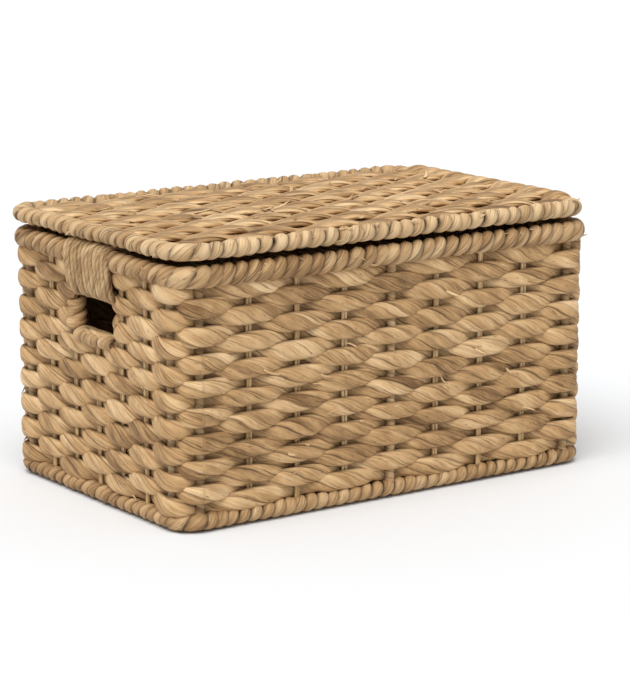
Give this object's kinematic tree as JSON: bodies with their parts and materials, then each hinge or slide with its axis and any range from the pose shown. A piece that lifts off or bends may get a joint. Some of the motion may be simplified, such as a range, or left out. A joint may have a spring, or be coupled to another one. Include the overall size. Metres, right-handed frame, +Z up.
{
  "type": "wicker basket",
  "caption": "Rectangular woven storage basket with a wrapped rim, a hand hole with a wrapped grip in each short side, and a flat woven lid hinged at the back.",
  "frame": {"origin": "centre of the basket's footprint, on the surface it stands on", "axes": "+X along the long side, +Y towards the hinged back, +Z up"},
  "size_m": [0.445, 0.2829, 0.2403],
  "materials": {
    "hyacinth_weave": "matte",
    "border_wrap": "matte",
    "wrap_cord": "matte",
    "rattan_cane": "satin",
    "frame_wire": "satin"
  },
  "bodies": {
    "basket": {"wire_frame": "frame_wire", "cane_pair_1": "rattan_cane", "cane_pair_2": "rattan_cane", "cane_pair_3": "rattan_cane", "cane_pair_4": "rattan_cane", "cane_pair_5": "rattan_cane", "cane_pair_6": "rattan_cane", "end_cane_left_1": "rattan_cane", "end_cane_left_2": "rattan_cane", "end_cane_left_3": "rattan_cane", "end_cane_left_4": "rattan_cane", "end_cane_left_5": "rattan_cane", "end_cane_right_1": "rattan_cane", "end_cane_right_2": "rattan_cane", "end_cane_right_3": "rattan_cane", "end_cane_right_4": "rattan_cane", "end_cane_right_5": "rattan_cane", "weave_row_01": "hyacinth_weave", "weave_row_02": "hyacinth_weave", "weave_row_03": "hyacinth_weave", "weave_row_04": "hyacinth_weave", "weave_row_05": "hyacinth_weave", "weave_row_06": "hyacinth_weave", "weave_row_07": "hyacinth_weave", "weave_row_08": "hyacinth_weave", "weave_row_09": "hyacinth_weave", "weave_row_10": "hyacinth_weave", "weave_row_11": "hyacinth_weave", "weave_row_12": "hyacinth_weave", "weave_row_15": "hyacinth_weave", "weave_row_16": "hyacinth_weave", "weave_row_17": "hyacinth_weave", "hole_row_front": "hyacinth_weave", "hole_row_back": "hyacinth_weave", "rim_wrap_front": "border_wrap", "rim_wrap_back": "border_wrap", "base_wrap": "border_wrap", "handle_wrap_left": "wrap_cord", "handle_wrap_right": "wrap_cord", "sill_wrap_left": "wrap_cord", "sill_wrap_right": "wrap_cord", "base_weave": "hyacinth_weave", "hinge_loop_left": "wrap_cord", "hinge_loop_right": "wrap_cord"},
    "lid": {"lid_frame": "frame_wire", "lid_border_front": "border_wrap", "lid_border_back": "border_wrap", "lid_weave": "hyacinth_weave", "lid_cane_01": "rattan_cane", "lid_cane_02": "rattan_cane", "lid_cane_03": "rattan_cane", "lid_cane_04": "rattan_cane", "lid_cane_05": "rattan_cane", "lid_cane_06": "rattan_cane", "lid_cane_07": "rattan_cane", "lid_cane_08": "rattan_cane", "lid_cane_09": "rattan_cane", "lid_cane_10": "rattan_cane", "lid_cane_11": "rattan_cane", "lid_cane_12": "rattan_cane"}
  },
  "joints": [
    {"name": "lid_hinge", "type": "hinge", "parent": "basket", "child": "lid", "pos_m": [0, 0.1335, 0.2325], "axis": [-1, 0, 0], "range_deg": [0, 205]}
  ]
}
